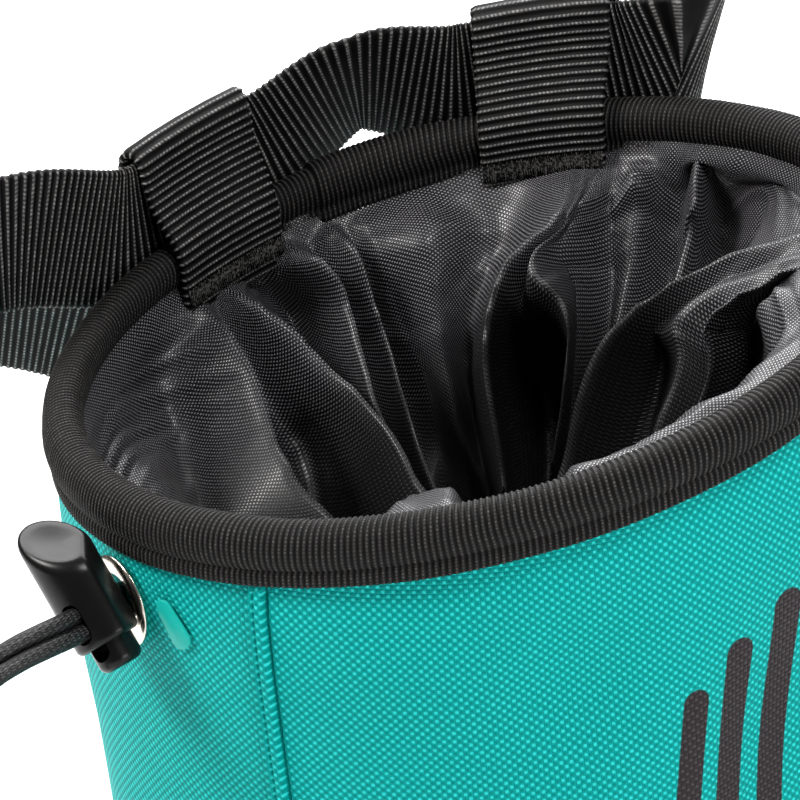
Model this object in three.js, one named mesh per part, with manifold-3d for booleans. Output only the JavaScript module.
// Climbing chalk bag: a round cloth bag with a bound rim, a gathered collar inside it, two belt
// loops, a waist belt closed by a buckle, and a drawcord with its eyelet and sprung cord lock.
// Millimetres, +Z up. The origin is the middle of the base, on the surface that the bag stands on.
// The belt loops are at the back (+Y) and the cord lock is at the left (-X).

import * as THREE from "three";
import { mergeVertices } from "three/addons/utils/BufferGeometryUtils.js";
import Module from "manifold-3d";

const wasm = await Module();
wasm.setup();

// Rim and cloth
const rimHeight = 145; // middle of the rim's roll above the base
const rimRadius = 57; // to the middle of the rim's roll
const rimSlantDeg = 8.5; // the rim is higher at the right
const shellWall = 1.5;
const liningWall = 1;
const tapeWall = 0.8; // binding tape
const tapeDrop = 5.5; // the binding's legs reach this far below the middle of the roll
const clearance = 0.3; // between pieces that touch

// Shell and base
const baseRadius = 55; // outside of the shell where it meets the floor
const shellFullness = 1.2; // how far the shell swells past a straight side
const dentDepth = 2.2;
const seamAngle = 229.5; // side seam, degrees from +X
const seamRelief = 0.5;
const seamReach = 3.6; // half of the strip that the seam takes, in degrees
const baseWall = 2;

// Collar
const collarDepth = 55; // from the top of the lining to the throat
const throatRadius = 17;
const foldHeight = 9;
const foldValley = 0.45; // how far the cloth between ridges sinks, as a share of foldHeight
const foldInward = 0.6; // the way that a ridge stands out of the cloth
const foldUp = 0.7;

// Webbing
const webbingWidth = 20;
const webbingWall = 1.5;
const loopAngles = { belt_loop_left: 120, belt_loop_right: 66 };
const loopTuck = 7.5; // the loop's inner end lies this far below the roll's middle
const loopTail = 12; // and its outer end this far
const beltSlack = 0.5; // between the belt and the inside of its loops
const beltSeat = 6.2; // middle of the belt above the roll's middle at the loops
const beltReach = 265; // the belt's buckle end, to the left of the bag's axis
const beltBack = 150; // the belt's far side, behind the bag's axis

// Buckle
const buckleLength = 34;
const buckleWall = 7;
const buckleMargin = 3; // past each edge of the belt
const buckleSocket = 5; // how deep each belt end sits in it

// Eyelet, tab and drawcord
const eyeletAngle = 203.3;
const eyeletDrop = 13.2; // below the rim
const eyeletRadius = 6.5;
const eyeletBore = 3.8;
const eyeletPlate = 0.8;
const tabAngle = 214.4;
const tabDrop = 13.4;
const tabLength = 7;
const tabWidth = 3;
const tabWall = 0.6;
const tabTiltDeg = 35; // of its length from upright
const cordDiameter = 2.4;
const knotRadius = 4.2;
const knotStretch = 1.25; // its height against its width

// Cord lock
const lockWidth = 10;
const lockDepth = 8.4;
const lockLength = 19.5; // of the body, without the plunger
const lockTiltDeg = 38; // of its long axis from upright, about the cord
const lockSlantDeg = 42; // of its top
const lockWall = 0.9;
const lockFlat = 4; // from its middle to the flat side
const lockFlatTurn = 20; // of the flat side towards the bag, in degrees
const lockRound = 1.2; // of its upper and lower edges
const lockHoleUp = 3.9; // the cord's hole above the body's lower rim
const lockRunClearance = 0.25;
const plungerShown = 3.6; // part of the plunger below the body
const plungerReach = 7.8; // part of the plunger inside the body
const plungerTravel = 3;
const plungerRound = 0.8;

// Facets
const shellColumns = 54;
const rimColumns = 60;
const collarColumns = 70;
const loopColumns = 5;
const beltSteps = 84;
const barrelSides = 20;
const cordSteps = 22;

const { degToRad } = THREE.MathUtils;
const rimSlope = Math.tan(degToRad(rimSlantDeg));
const rollRadius = (shellWall + liningWall + 2 * tapeWall + 3 * clearance) / 2;
const shellTopRadius = rimRadius + rollRadius - tapeWall - clearance;
const liningTopRadius = shellTopRadius - shellWall - clearance;
const wallTopDrop = tapeWall; // the walls end this far below the roll's middle

const inks = {
  teal: new THREE.MeshStandardMaterial({ color: 0x0fb5a8, roughness: 0.6, metalness: 0 }),
  tealFilm: new THREE.MeshStandardMaterial({ color: 0x14a596, roughness: 0.3, metalness: 0 }),
  charcoal: new THREE.MeshStandardMaterial({ color: 0x24232a, roughness: 0.45, metalness: 0 }),
  webbing: new THREE.MeshStandardMaterial({ color: 0x17171a, roughness: 0.8, metalness: 0 }),
  plastic: new THREE.MeshStandardMaterial({ color: 0x111113, roughness: 0.2, metalness: 0 }),
  metal: new THREE.MeshStandardMaterial({ color: 0xd8cfc4, roughness: 0.25, metalness: 1 }),
};

function rimLevel(x) {
  return rimHeight + rimSlope * x;
}

function polar(angleDeg, radius, z) {
  const a = degToRad(angleDeg);
  return new THREE.Vector3(radius * Math.cos(a), radius * Math.sin(a), z);
}

// A point given by its angle, its radius and its height above the slanted rim.
function besideRim(angleDeg, radius, above) {
  const p = polar(angleDeg, radius, 0);
  p.z = rimLevel(p.x) + above;
  return p;
}

function turnBetween(a, b) {
  return ((((a - b) % 360) + 540) % 360) - 180;
}

// 1 at the middle of a bump, 0 from its edge on.
function bump(distance, reach) {
  const share = Math.min(Math.abs(distance / reach), 1);
  return (1 + Math.cos(Math.PI * share)) / 2;
}

function evenAngles(count) {
  return Array.from({ length: count }, (_, i) => (i * 360) / count);
}

function geometryOf(points, triangles) {
  const geometry = new THREE.BufferGeometry();
  geometry.setAttribute(
    "position",
    new THREE.Float32BufferAttribute(points.flatMap((p) => p.toArray()), 3),
  );
  geometry.setIndex(triangles);
  return geometry;
}

// Skins closed sections, each an equal list of points, into one body: a ring that meets itself,
// or a strip whose two ends are capped. A section has its near face's points first, and then the
// far face's points on the way back.
function skin(sections, closed) {
  const across = sections[0].length;
  const triangles = [];
  const last = closed ? sections.length : sections.length - 1;
  for (let i = 0; i < last; i++) {
    const here = i * across;
    const next = ((i + 1) % sections.length) * across;
    for (let j = 0; j < across; j++) {
      const k = (j + 1) % across;
      triangles.push(here + j, next + j, next + k, here + j, next + k, here + k);
    }
  }
  if (!closed) {
    const end = (sections.length - 1) * across;
    for (let j = 0; j < across / 2 - 1; j++) {
      const k = across - 1 - j;
      triangles.push(j, j + 1, k, j + 1, k - 1, k);
      triangles.push(end + j, end + k, end + j + 1, end + j + 1, end + k, end + k - 1);
    }
  }
  return geometryOf(sections.flat(), triangles);
}

function solidOf(geometry) {
  const bare = geometry.clone();
  bare.deleteAttribute("normal");
  bare.deleteAttribute("uv");
  const merged = mergeVertices(bare, 1e-4);
  return new wasm.Manifold(
    new wasm.Mesh({
      numProp: 3,
      vertProperties: merged.attributes.position.array,
      triVerts: new Uint32Array(merged.index.array),
    }),
  );
}

function geometryFrom(solid) {
  const { vertProperties, triVerts } = solid.getMesh();
  const geometry = new THREE.BufferGeometry();
  geometry.setAttribute("position", new THREE.BufferAttribute(vertProperties, 3));
  geometry.setIndex(new THREE.BufferAttribute(triVerts, 1));
  return geometry;
}

function named(name, geometry, material) {
  const mesh = new THREE.Mesh(geometry, material);
  mesh.name = name;
  return mesh;
}

// Frame on the shell at an angle and drop below the rim: X points out of the cloth and Z up, and
// the frame is turned about X by the tilt.
function onShell(angleDeg, drop, out, tiltDeg) {
  const frame = new THREE.Group();
  frame.position.copy(besideRim(angleDeg, shellRadius(angleDeg, -drop), -drop));
  frame.position.add(polar(angleDeg, out, 0));
  frame.rotation.set(degToRad(tiltDeg), 0, degToRad(angleDeg), "ZYX");
  return frame;
}

// Shell: a round wall that swells a little below the rim and is soft enough to dent.
// level is the share of the shell's height, swell the share of shellFullness.
const shellRows = [
  { level: 0, swell: 0 },
  { level: 0.03, swell: 0.3 },
  { level: 0.15, swell: 0.6 },
  { level: 0.32, swell: 0.8 },
  { level: 0.48, swell: 0.9 },
  { level: 0.61, swell: 1 },
  { level: 0.71, swell: 1.05 },
  { level: 0.8, swell: 1.15 },
  { level: 0.87, swell: 1.15 },
  { level: 0.93, swell: 0.75 },
  { level: 0.965, swell: 0 },
  { level: 1, swell: 0 },
];

// angle in degrees and level as above give the middle, wide in degrees and tall the half extents,
// and deep is the share of dentDepth, below 0 where the cloth stands out.
const dents = [
  { angle: 268, level: 0.82, wide: 15, tall: 0.12, deep: 0.75 },
  { angle: 296, level: 0.66, wide: 16, tall: 0.2, deep: 0.9 },
  { angle: 312, level: 0.88, wide: 18, tall: 0.12, deep: -0.45 },
  { angle: 248, level: 0.55, wide: 12, tall: 0.2, deep: 0.4 },
  { angle: 335, level: 0.5, wide: 22, tall: 0.28, deep: 0.6 },
  { angle: 20, level: 0.72, wide: 18, tall: 0.2, deep: 0.7 },
  { angle: 62, level: 0.45, wide: 22, tall: 0.25, deep: 0.8 },
  { angle: 105, level: 0.7, wide: 16, tall: 0.2, deep: 0.5 },
  { angle: 140, level: 0.4, wide: 24, tall: 0.28, deep: 0.9 },
  { angle: 178, level: 0.6, wide: 14, tall: 0.22, deep: 0.5 },
  { angle: 215, level: 0.3, wide: 20, tall: 0.22, deep: 0.8 },
  { angle: 280, level: 0.28, wide: 24, tall: 0.22, deep: 0.7 },
];

function swellAt(level) {
  const above = Math.max(1, shellRows.findIndex((row) => row.level >= level));
  const low = shellRows[above - 1];
  const high = shellRows[above];
  const share = (level - low.level) / (high.level - low.level);
  return THREE.MathUtils.lerp(low.swell, high.swell, share);
}

function shellTop(angleDeg) {
  return besideRim(angleDeg, shellTopRadius, -wallTopDrop).z;
}

function radiusAtLevel(angleDeg, level) {
  let radius = THREE.MathUtils.lerp(baseRadius, shellTopRadius, level);
  radius += shellFullness * swellAt(level);
  for (const dent of dents) {
    const turn = turnBetween(angleDeg, dent.angle);
    radius -= dentDepth * dent.deep * bump(turn, dent.wide) * bump(level - dent.level, dent.tall);
  }
  return radius;
}

function shellRadius(angleDeg, above) {
  const level = besideRim(angleDeg, shellTopRadius, above).z / shellTop(angleDeg);
  return radiusAtLevel(angleDeg, level);
}

// The seam is a groove beside a raised edge; both fade out under the binding.
const seamColumns = [
  { turn: -2.6, relief: 0 },
  { turn: -1.9, relief: 0.8 },
  { turn: -0.5, relief: 0.8 },
  { turn: 0.1, relief: -1 },
  { turn: 1.2, relief: 0 },
];

function buildShell() {
  const plain = evenAngles(shellColumns).filter(
    (angle) => Math.abs(turnBetween(angle, seamAngle)) > seamReach,
  );
  const columns = plain.map((angle) => ({ angle, relief: 0 }));
  for (const { turn, relief } of seamColumns) {
    columns.push({ angle: seamAngle + turn, relief: relief * seamRelief });
  }
  columns.sort((a, b) => a.angle - b.angle);
  const sections = columns.map(({ angle, relief }) => {
    const top = shellTop(angle);
    const outside = shellRows.map(({ level, swell }) =>
      polar(angle, radiusAtLevel(angle, level) + relief * Math.min(1, swell), level * top),
    );
    const inside = shellRows.map(({ level }) =>
      polar(angle, radiusAtLevel(angle, level) - shellWall, level * top),
    );
    return [...outside, ...inside.reverse()];
  });
  const holeRadius = eyeletBore + eyeletPlate + clearance;
  const hole = new THREE.CylinderGeometry(holeRadius, holeRadius, 2 * eyeletRadius, barrelSides);
  hole.rotateZ(Math.PI / 2);
  const frame = onShell(eyeletAngle, eyeletDrop, 0, 0);
  frame.updateMatrix();
  hole.applyMatrix4(frame.matrix);
  return geometryFrom(solidOf(skin(sections, true)).subtract(solidOf(hole)));
}

function buildBase() {
  const radius = baseRadius - shellWall - clearance;
  const base = new THREE.CylinderGeometry(radius, radius, baseWall, shellColumns);
  base.rotateX(Math.PI / 2);
  base.translate(0, 0, baseWall / 2);
  return base;
}

// Binding: tape folded over the rim into a roll, with a leg down each side of the two walls.
// out and up are shares of the roll's radius; the legs end at tapeDrop.
const rollOutline = [
  { out: 0.93, up: -1.15 },
  { out: 1, up: -0.55 },
  { out: 1, up: 0 },
  { out: 0.81, up: 0.59 },
  { out: 0.31, up: 0.95 },
  { out: -0.31, up: 0.95 },
  { out: -0.81, up: 0.59 },
  { out: -1, up: 0 },
  { out: -1, up: -0.55 },
  { out: -0.93, up: -1.15 },
];

function buildBinding() {
  const slot = rollRadius - tapeWall;
  const slotTop = clearance - wallTopDrop;
  const sections = evenAngles(rimColumns).map((angle) => {
    const roll = rollOutline.map(({ out, up }) =>
      besideRim(angle, rimRadius + out * rollRadius, up * rollRadius),
    );
    return [
      besideRim(angle, rimRadius + slot, -tapeDrop),
      besideRim(angle, rimRadius + rollRadius, -tapeDrop),
      ...roll,
      besideRim(angle, rimRadius - rollRadius, -tapeDrop),
      besideRim(angle, rimRadius - slot, -tapeDrop),
      besideRim(angle, rimRadius - slot, slotTop),
      besideRim(angle, rimRadius + slot, slotTop),
    ];
  });
  return skin(sections, true);
}

// Collar: the lining hangs from the rim, folds inwards and is gathered at the throat.
// down, inward and fold are shares of collarDepth, of the way to the throat, and of foldHeight.
const collarRows = [
  { down: 0, inward: 0, fold: 0 },
  { down: 0.1, inward: 0, fold: 0 },
  { down: 0.14, inward: 0.03, fold: 0 },
  { down: 0.21, inward: 0.11, fold: 0.2 },
  { down: 0.29, inward: 0.2, fold: 0.5 },
  { down: 0.38, inward: 0.29, fold: 0.8 },
  { down: 0.48, inward: 0.43, fold: 0.95 },
  { down: 0.59, inward: 0.58, fold: 1 },
  { down: 0.7, inward: 0.73, fold: 0.9 },
  { down: 0.81, inward: 0.86, fold: 0.7 },
  { down: 0.91, inward: 0.95, fold: 0.5 },
  { down: 1, inward: 1, fold: 0.4 },
];

// Each fold is a ridge that runs from one angle at the rim to another at the throat, in degrees;
// wide is its half width there and tall the share of foldHeight.
const folds = [
  { atRim: 212, atThroat: 226, wide: 15, tall: 0.45 },
  { atRim: 124, atThroat: 190, wide: 19, tall: 1 },
  { atRim: 108, atThroat: 152, wide: 15, tall: 0.9 },
  { atRim: 84, atThroat: 116, wide: 13, tall: 0.45 },
  { atRim: 56, atThroat: 78, wide: 18, tall: 1 },
  { atRim: 36, atThroat: 42, wide: 15, tall: 0.7 },
  { atRim: 8, atThroat: -6, wide: 22, tall: 1.2 },
  { atRim: -34, atThroat: -44, wide: 20, tall: 0.8 },
  { atRim: -74, atThroat: -84, wide: 19, tall: 0.9 },
  { atRim: -116, atThroat: -110, wide: 18, tall: 1 },
];

function collarPoint(angle, row) {
  let lift = -foldValley;
  for (const fold of folds) {
    const ridge = THREE.MathUtils.lerp(fold.atRim, fold.atThroat, row.inward);
    lift += (fold.tall + foldValley) * bump(turnBetween(angle, ridge), fold.wide);
  }
  lift *= foldHeight * row.fold;
  const radius = THREE.MathUtils.lerp(liningTopRadius - liningWall / 2, throatRadius, row.inward);
  const above = -wallTopDrop - collarDepth * row.down;
  return besideRim(angle, radius - foldInward * lift, above + foldUp * lift);
}

function buildCollar() {
  const angles = evenAngles(collarColumns);
  const grid = angles.map((angle) => collarRows.map((row) => collarPoint(angle, row)));
  const lastRow = collarRows.length - 1;
  const sections = grid.map((column, i) => {
    const before = grid[(i + grid.length - 1) % grid.length];
    const after = grid[(i + 1) % grid.length];
    const upper = [];
    const under = [];
    column.forEach((point, j) => {
      const round = after[j].clone().sub(before[j]);
      const down = column[Math.min(j + 1, lastRow)].clone().sub(column[Math.max(j - 1, 0)]);
      const normal = round.cross(down).normalize();
      upper.push(point.clone().addScaledVector(normal, liningWall / 2));
      under.push(point.clone().addScaledVector(normal, -liningWall / 2));
    });
    return [...upper, ...under.reverse()];
  });
  return skin(sections, true);
}

// Webbing strip along a path of stations, each with its place and its width direction.
function strip(stations, width, wall) {
  const places = stations.map((s) => s.place);
  const sections = stations.map(({ place, edge }, i) => {
    const ahead = places[Math.min(i + 1, places.length - 1)];
    const behind = places[Math.max(i - 1, 0)];
    const along = ahead.clone().sub(behind).normalize();
    const face = along.clone().cross(edge).normalize();
    const widthWay = face.clone().cross(along).normalize();
    const corner = (w, f) =>
      place.clone().addScaledVector(widthWay, (w * width) / 2).addScaledVector(face, (f * wall) / 2);
    return [corner(-1, 1), corner(1, 1), corner(1, -1), corner(-1, -1)];
  });
  return skin(sections, false);
}

// Belt loop: one strip that starts inside the rim, goes up over the belt and down the outside.
// Its path is in the upright plane through the loop's angle, from the inner end to the outer end,
// and across its width it bends with the rim.
const beltRadius = rimRadius + rollRadius + clearance + webbingWall / 2;
const loopInside = rimRadius - rollRadius - clearance - webbingWall / 2;
const loopOutside = beltRadius + webbingWall + beltSlack;
const loopTopUp = beltSeat + webbingWidth / 2 + beltSlack + webbingWall / 2;

// The stretch from the roll's inside up to the belt: out is the share of the way between the two,
// and up the height above the roll's middle as a share of its radius.
const loopRise = [
  { out: 0, up: 0.8 },
  { out: 0.33, up: 2 },
  { out: 0.67, up: 3.2 },
  { out: 1, up: 4.6 },
];
const loopFoldSoft = 0.35; // how far the fold's corners lie below its top, as a share of the wall

function buildLoop(angle) {
  const inner = beltRadius - webbingWall - beltSlack;
  const shoulder = loopTopUp - webbingWall;
  const corner = loopTopUp - webbingWall * loopFoldSoft;
  const path = [
    [loopInside, -loopTuck],
    [loopInside, -loopTuck / 2],
    [loopInside, 0],
    ...loopRise.map(({ out, up }) => [
      THREE.MathUtils.lerp(loopInside, inner, out),
      rollRadius * up,
    ]),
    [inner, shoulder],
    [(inner * 3 + beltRadius) / 4, corner],
    [beltRadius, loopTopUp],
    [(loopOutside * 3 + beltRadius) / 4, corner],
    [loopOutside, shoulder],
    [loopOutside, rollRadius],
    [loopOutside, -loopTail / 2],
    [loopOutside, -loopTail],
  ].map(([radius, above]) => new THREE.Vector2(radius, above));
  const halfTurn = THREE.MathUtils.radToDeg(webbingWidth / 2 / rimRadius);
  const sections = path.map((point, i) => {
    const ahead = path[Math.min(i + 1, path.length - 1)];
    const behind = path[Math.max(i - 1, 0)];
    const along = ahead.clone().sub(behind).normalize();
    const face = new THREE.Vector2(along.y, -along.x).multiplyScalar(webbingWall / 2);
    const row = (side) =>
      Array.from({ length: loopColumns }, (_, j) => {
        const turn = halfTurn * ((2 * j) / (loopColumns - 1) - 1);
        return besideRim(angle + turn, point.x + side * face.x, point.y + side * face.y);
      });
    return [...row(-1), ...row(1).reverse()];
  });
  return skin(sections, false);
}

// Waist belt: a whole loop from the buckle round the front run, through both loops and back.
// side, back and level are shares of beltReach, beltBack and rimHeight; lean tips the upper edge
// towards the inside of the loop, in degrees.
const beltToLoops = [
  { side: -0.955, back: 0.28, level: 0.815, lean: 0 },
  { side: -0.85, back: 0.13, level: 0.87, lean: 0 },
  { side: -0.64, back: 0.05, level: 0.95, lean: 0 },
  { side: -0.42, back: 0.07, level: 1.015, lean: 0 },
  { side: -0.226, back: 0.21, level: 1.053, lean: 0 },
];

// turn is the angle on the rim; out is the share of rollRadius past the belt's seat, up of beltSeat.
const beltAtRim = [
  { turn: 132, out: 0, up: 0, lean: 0 },
  { turn: 120, out: 0, up: 0, lean: 0 },
  { turn: 108, out: 0, up: 0, lean: 0 },
  { turn: 93, out: 0.5, up: 0.75, lean: 26 },
  { turn: 78, out: 0, up: 0, lean: 0 },
  { turn: 66, out: 0, up: 0, lean: 0 },
  { turn: 54, out: 0, up: 0, lean: 0 },
  { turn: 46.5, out: 0.6, up: 0.15, lean: 14 },
];
const beltFromLoops = [
  { side: 0.177, back: 0.34, level: 1.065, lean: 18 },
  { side: 0.177, back: 0.43, level: 1.03, lean: 14 },
  { side: 0.176, back: 0.56, level: 0.93, lean: 6 },
  { side: 0.145, back: 0.71, level: 0.76, lean: 0 },
  { side: 0.054, back: 0.77, level: 0.61, lean: 0 },
  { side: -0.063, back: 0.79, level: 0.585, lean: -6 },
  { side: -0.19, back: 0.84, level: 0.665, lean: -14 },
  { side: -0.38, back: 0.95, level: 0.74, lean: -6 },
  { side: -0.6, back: 1.02, level: 0.775, lean: 0 },
  { side: -0.82, back: 0.98, level: 0.785, lean: 0 },
  { side: -0.95, back: 0.85, level: 0.785, lean: 0 },
];
const buckleAt = { side: -1, back: 0.57, level: 0.79, lean: 0 };
const buckleAcross = webbingWidth + 2 * buckleMargin;

function freeStation({ side, back, level, lean }) {
  return { place: new THREE.Vector3(side * beltReach, back * beltBack, level * rimHeight), lean };
}

function rimStation({ turn, out, up, lean }) {
  return { place: besideRim(turn, beltRadius + out * rollRadius, beltSeat * (1 + up)), lean };
}

const buckleMiddle = freeStation(buckleAt).place;

// On the buckle's own line, past its end by so much.
function pastBuckle(way, past) {
  const place = buckleMiddle.clone();
  place.y += way * (buckleLength / 2 + past);
  return { place, lean: 0 };
}

function buildBelt() {
  const rows = [
    pastBuckle(-1, clearance - buckleSocket),
    pastBuckle(-1, clearance),
    pastBuckle(-1, buckleSocket + clearance),
    ...beltToLoops.map(freeStation),
    ...beltAtRim.map(rimStation),
    ...beltFromLoops.map(freeStation),
    pastBuckle(1, buckleSocket + clearance),
    pastBuckle(1, clearance),
    pastBuckle(1, clearance - buckleSocket),
  ];
  const route = new THREE.CatmullRomCurve3(rows.map((row) => row.place), false, "centripetal");
  const up = new THREE.Vector3(0, 0, 1);
  const stations = [];
  for (let i = 0; i <= beltSteps; i++) {
    const share = i / beltSteps;
    const row = Math.min(Math.floor(share * (rows.length - 1)), rows.length - 2);
    const part = share * (rows.length - 1) - row;
    const lean = THREE.MathUtils.lerp(rows[row].lean, rows[row + 1].lean, part);
    const along = route.getTangent(share);
    const edge = up.clone().applyAxisAngle(along, degToRad(lean));
    stations.push({ place: route.getPoint(share), edge });
  }
  return strip(stations, webbingWidth, webbingWall);
}

function buildBuckle() {
  const half = buckleLength / 2;
  const corner = buckleMargin;
  const outline = new THREE.Shape();
  outline.absarc(half - corner, buckleAcross / 2 - corner, corner, 0, Math.PI / 2);
  outline.absarc(corner - half, buckleAcross / 2 - corner, corner, Math.PI / 2, Math.PI);
  outline.absarc(corner - half, corner - buckleAcross / 2, corner, Math.PI, Math.PI * 1.5);
  outline.absarc(half - corner, corner - buckleAcross / 2, corner, Math.PI * 1.5, Math.PI * 2);
  const block = new THREE.ExtrudeGeometry(outline, {
    depth: buckleWall,
    bevelEnabled: false,
    curveSegments: 4,
  });
  block.translate(0, 0, -buckleWall / 2);
  let body = solidOf(block);
  for (const way of [-1, 1]) {
    const socket = new THREE.BoxGeometry(
      2 * buckleSocket,
      webbingWidth + 2 * clearance,
      webbingWall + 2 * clearance,
    );
    socket.translate(way * half, 0, 0);
    body = body.subtract(solidOf(socket));
  }
  const buckle = geometryFrom(body);
  buckle.rotateX(Math.PI / 2);
  buckle.rotateZ(Math.PI / 2);
  return buckle;
}

// Eyelet: a pressed ring through the shell, with a plate on each side of the cloth.
function buildEyelet() {
  const sag = shellTopRadius - Math.sqrt(shellTopRadius ** 2 - eyeletRadius ** 2);
  const outside = clearance + sag / 2;
  const inside = -shellWall - clearance - 2 * sag;
  const barrelRadius = eyeletBore + eyeletPlate;
  const backRadius = (barrelRadius + eyeletRadius) / 2;
  const profile = [
    [eyeletBore, inside - eyeletPlate],
    [backRadius, inside - eyeletPlate],
    [backRadius, inside],
    [barrelRadius, inside],
    [barrelRadius, outside],
    [eyeletRadius, outside],
    [eyeletRadius - eyeletPlate / 2, outside + eyeletPlate],
    [eyeletBore + eyeletPlate / 2, outside + eyeletPlate],
    [eyeletBore, outside + eyeletPlate / 2],
    [eyeletBore, inside - eyeletPlate],
  ];
  const ring = new THREE.LatheGeometry(profile.map(([r, y]) => new THREE.Vector2(r, y)), 24);
  ring.rotateZ(-Math.PI / 2);
  return ring;
}

// Tab: a small strip of film with round ends, flat on the cloth beside the eyelet.
function buildTab() {
  const end = tabWidth / 2;
  const straight = tabLength / 2 - end;
  const outline = new THREE.Shape();
  outline.absarc(0, straight, end, 0, Math.PI);
  outline.absarc(0, -straight, end, Math.PI, Math.PI * 2);
  const film = new THREE.ExtrudeGeometry(outline, {
    depth: tabWall,
    bevelEnabled: false,
    curveSegments: 6,
  });
  film.rotateX(Math.PI / 2);
  film.rotateZ(Math.PI / 2);
  return film;
}

// Cord lock: a barrel with a slanted top, a flat side and a cross hole, and a sprung plunger inside.
// In its own frame Z runs up the barrel from the lower rim, and X along the cord, out of the cloth.
const cordHoleAcross = cordDiameter + 2 * clearance;
const cordHoleUp = 2 * cordDiameter + 3 * clearance;
const boreRadius = lockDepth / 2 - lockWall;

function barrel(radius, low, high, round) {
  const profile = [
    [0, low],
    [radius - round, low],
    [radius, low + round],
    [radius, high - round],
    [radius - round, high],
    [0, high],
  ];
  const points = profile.map(([r, y]) => new THREE.Vector2(r, y));
  const turned = new THREE.LatheGeometry(points, barrelSides);
  turned.rotateX(Math.PI / 2);
  return turned;
}

function buildLockBody() {
  const outside = barrel(lockWidth / 2, 0, lockLength, lockRound);
  outside.scale(lockDepth / lockWidth, 1, 1);
  const boreTop = plungerReach + plungerTravel + clearance;
  const bore = barrel(boreRadius, -lockWall, boreTop, lockRunClearance);
  const hole = new THREE.BoxGeometry(2 * lockDepth, cordHoleAcross, cordHoleUp);
  hole.translate(0, 0, lockHoleUp);
  const cutter = new THREE.BoxGeometry(4 * lockWidth, 4 * lockWidth, 2 * lockWidth);
  cutter.translate(0, 0, lockWidth);
  cutter.rotateX(-degToRad(lockSlantDeg));
  cutter.translate(0, -lockWidth / 2, lockLength);
  const side = new THREE.BoxGeometry(4 * lockWidth, 2 * lockWidth, 4 * lockWidth);
  side.translate(0, lockFlat + lockWidth, 0);
  side.rotateZ(degToRad(lockFlatTurn));
  const cuts = [bore, hole, cutter, side].map(solidOf);
  return geometryFrom(cuts.reduce((body, cut) => body.subtract(cut), solidOf(outside)));
}

function buildPlunger() {
  const radius = boreRadius - lockRunClearance;
  const body = barrel(radius, -plungerShown, plungerReach, plungerRound);
  const low = lockHoleUp - cordHoleUp / 2 - plungerTravel;
  const high = lockHoleUp + cordHoleUp / 2;
  const slot = new THREE.BoxGeometry(2 * lockDepth, cordHoleAcross, high - low);
  slot.translate(0, 0, (high + low) / 2);
  return geometryFrom(solidOf(body).subtract(solidOf(slot)));
}

// Drawcord: two strands side by side through the eyelet and the lock, hanging to one knot.
// out is along the way out of the eyelet, front towards the front of the bag and down below the
// eyelet, in millimetres; turn is the share of the pair's turn from the lock's tilt to level.
const cordRoute = [
  { out: -2.6, front: 0.4, down: -0.3, turn: 0 },
  { out: 0, front: 0.75, down: -0.45, turn: 0 },
  { out: 3, front: 1.95, down: -0.87, turn: 0 },
  { out: 6, front: 3.15, down: -1.29, turn: 0 },
  { out: 9, front: 4.35, down: -1.71, turn: 0 },
  { out: 12, front: 5.4, down: -2.1, turn: 0.02 },
  { out: 16, front: 6, down: -2.3, turn: 0.1 },
  { out: 20, front: 6.1, down: -2, turn: 0.25 },
  { out: 24.5, front: 5.9, down: -0.7, turn: 0.5 },
  { out: 28.5, front: 5.9, down: 2.2, turn: 0.8 },
  { out: 31.5, front: 5.9, down: 7, turn: 1 },
  { out: 33.2, front: 5.9, down: 13.5, turn: 1 },
  { out: 33.9, front: 5.9, down: 21, turn: 1 },
  { out: 34, front: 5.9, down: 29, turn: 1 },
  { out: 34, front: 5.9, down: 37, turn: 1 },
  { out: 34, front: 5.9, down: 45, turn: 1 },
  { out: 34, front: 5.9, down: 51.5, turn: 1 },
];
const lockRow = 3; // of the route, at the middle of the lock's hole

function buildStrand(side) {
  const half = (side * (cordDiameter + clearance)) / 2;
  const points = cordRoute.map(({ out, front, down, turn }) => {
    const angle = degToRad(THREE.MathUtils.lerp(lockTiltDeg, 90, turn));
    const across = front - half * Math.sin(angle);
    return new THREE.Vector3(out, across, half * Math.cos(angle) - down);
  });
  const section = new THREE.Shape();
  section.absarc(0, 0, cordDiameter / 2, 0, 2 * Math.PI);
  return new THREE.ExtrudeGeometry(section, {
    extrudePath: new THREE.CatmullRomCurve3(points),
    steps: cordSteps,
    curveSegments: 4,
    bevelEnabled: false,
  });
}

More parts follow.
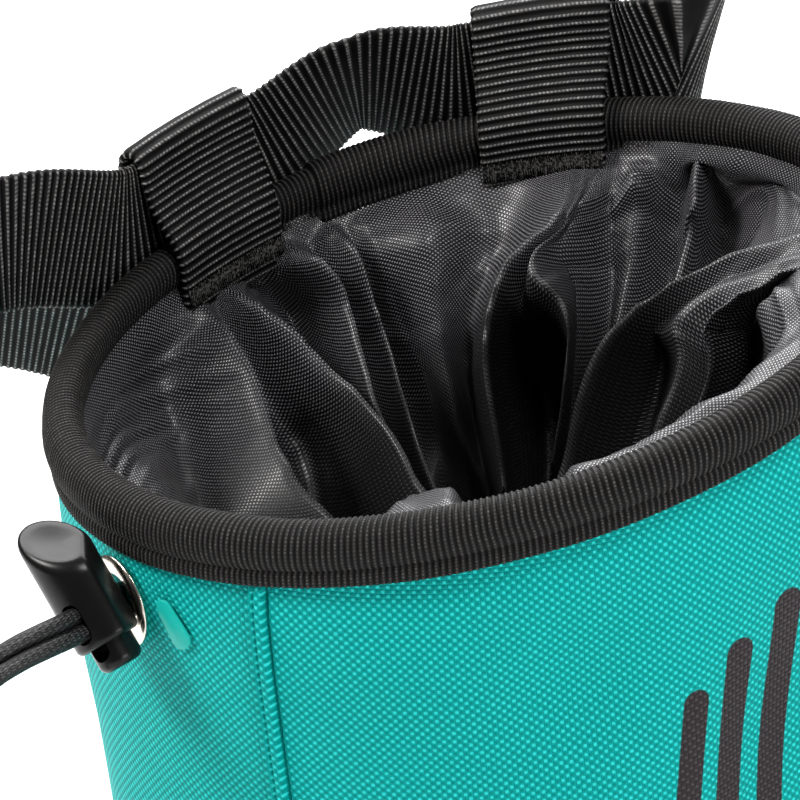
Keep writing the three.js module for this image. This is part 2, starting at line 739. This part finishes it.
function buildKnot() {
  const { out, front, down } = cordRoute[cordRoute.length - 1];
  const knot = new THREE.SphereGeometry(knotRadius, 12, 8);
  knot.scale(1, 1, knotStretch);
  knot.translate(out, front, -down - knotRadius * knotStretch - clearance);
  return knot;
}

const bag = new THREE.Group();
bag.add(named("outer_shell", buildShell(), inks.teal));
bag.add(named("base_panel", buildBase(), inks.teal));
bag.add(named("rim_binding", buildBinding(), inks.webbing));
bag.add(named("collar_lining", buildCollar(), inks.charcoal));
for (const [name, angle] of Object.entries(loopAngles)) {
  bag.add(named(name, buildLoop(angle), inks.webbing));
}
bag.add(named("waist_belt", buildBelt(), inks.webbing));

const buckle = named("belt_buckle", buildBuckle(), inks.plastic);
buckle.position.copy(buckleMiddle);
bag.add(buckle);

const eyelet = onShell(eyeletAngle, eyeletDrop, 0, 0);
eyelet.add(named("cord_eyelet", buildEyelet(), inks.metal));
eyelet.add(named("drawcord_upper", buildStrand(1), inks.webbing));
eyelet.add(named("drawcord_lower", buildStrand(-1), inks.webbing));
eyelet.add(named("cord_knot", buildKnot(), inks.webbing));
bag.add(eyelet);

const tab = onShell(tabAngle, tabDrop, clearance, tabTiltDeg);
tab.add(named("eyelet_tab", buildTab(), inks.tealFilm));
bag.add(tab);

// The lock's hole follows the cord, and its long axis leans by the lock's tilt.
const lock = new THREE.Group();
const cordAt = (row) => new THREE.Vector3(cordRoute[row].out, cordRoute[row].front, -cordRoute[row].down);
const cordWay = cordAt(lockRow + 1).sub(cordAt(lockRow - 1)).normalize();
const lockUp = new THREE.Vector3(0, 0, 1).applyAxisAngle(new THREE.Vector3(1, 0, 0), degToRad(lockTiltDeg));
lockUp.addScaledVector(cordWay, -lockUp.dot(cordWay)).normalize();
lock.matrix.makeBasis(cordWay, lockUp.clone().cross(cordWay), lockUp).setPosition(cordAt(lockRow));
lock.matrix.decompose(lock.position, lock.quaternion, lock.scale);
const lockBody = named("cord_lock_body", buildLockBody(), inks.plastic);
const lockPlunger = named("cord_lock_plunger", buildPlunger(), inks.plastic);
lockBody.position.z = -lockHoleUp;
lockPlunger.position.z = -lockHoleUp;
lock.add(lockBody, lockPlunger);
eyelet.add(lock);

export default bag;
